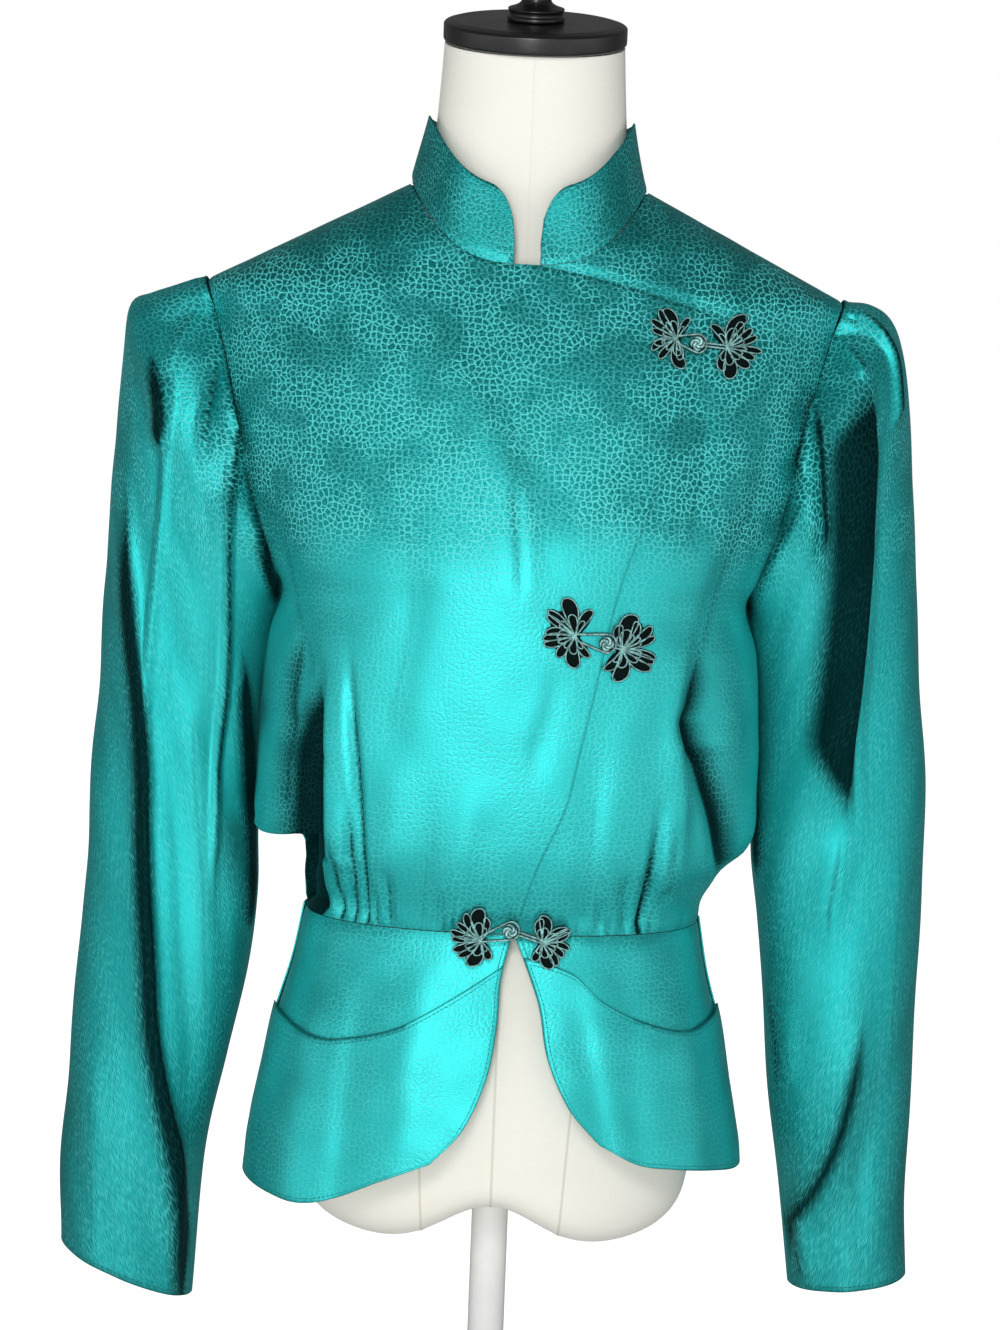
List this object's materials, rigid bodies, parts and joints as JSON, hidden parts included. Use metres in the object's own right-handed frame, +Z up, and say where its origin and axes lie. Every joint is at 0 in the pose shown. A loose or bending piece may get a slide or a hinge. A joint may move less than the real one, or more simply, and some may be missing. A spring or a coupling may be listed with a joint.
{
  "type": "mandarin collar peplum blouse on a limbless dress form",
  "caption": "Wrapped-front jacquard satin blouse with standing collar, corded frogs, long puffed sleeves and a peplum, worn on a limbless dress form on a round foot.",
  "frame": {"origin": "centre of the stand's round foot, on the floor", "axes": "+Z up, the blouse's front faces -Y, +X is the wearer's left"},
  "size_m": [0.517, 0.2424, 0.889],
  "materials": {
    "satin": "teal satin with a woven pebble jacquard",
    "cord": "teal satin cord with near-black coils",
    "linen": "cream linen drawn over the form, with raised seams",
    "black_paint": "black satin paint",
    "pale_paint": "off-white satin paint"
  },
  "bodies": {
    "root": {"front_right": "satin", "front_left": "satin", "back": "satin", "collar": "satin", "sleeve_right": "satin", "sleeve_left": "satin", "peplum_right": "satin", "pocket_right": "satin", "peplum_left": "satin", "pocket_left": "satin", "peplum_back": "satin", "frog_1_loop_side": "cord", "frog_1_knot_side": "cord", "frog_1_knot": "cord", "frog_1_loop": "cord", "frog_2_loop_side": "cord", "frog_2_knot_side": "cord", "frog_2_knot": "cord", "frog_2_loop": "cord", "frog_3_loop_side": "cord", "frog_3_knot_side": "cord", "frog_3_knot": "cord", "frog_3_loop": "cord", "form_body": "linen", "neck_cap": "black_paint", "finial": "black_paint", "pole": "pale_paint", "base": "pale_paint"}
  },
  "joints": []
}
